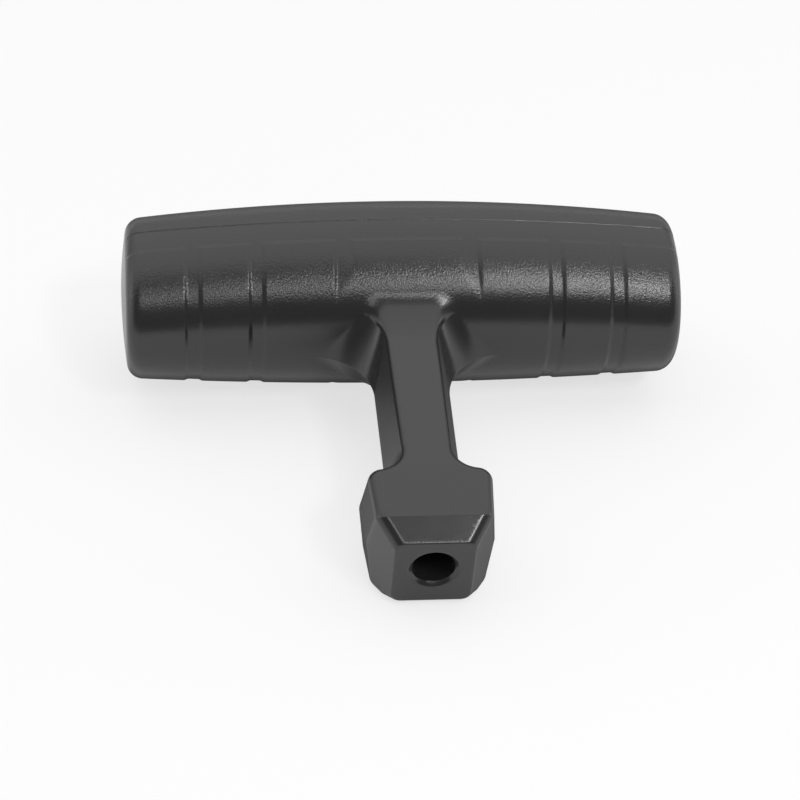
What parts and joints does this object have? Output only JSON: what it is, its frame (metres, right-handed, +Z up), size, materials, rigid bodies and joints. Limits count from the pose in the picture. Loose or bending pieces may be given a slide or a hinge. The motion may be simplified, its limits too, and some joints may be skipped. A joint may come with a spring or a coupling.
{
  "type": "starter handle",
  "caption": "One-piece T-shaped pull handle with finger pads, a tapered stem, a bevelled foot and a rope hole with a knot pocket.",
  "frame": {"origin": "on the ground under the middle of the handle's box, as it lies at rest", "axes": "+X along the grip, -Y towards the foot where the rope leaves, +Z up; the stem slopes down to the foot by the tilt at which the grip and the foot's lower edge both touch the ground"},
  "size_m": [0.09, 0.0736, 0.0297],
  "materials": {
    "black_plastic": "black injection-moulded plastic with a fine leather-like grain, half-matt, a little polished along the edges"
  },
  "bodies": {
    "root": {"starter_handle": "black_plastic"}
  },
  "joints": []
}
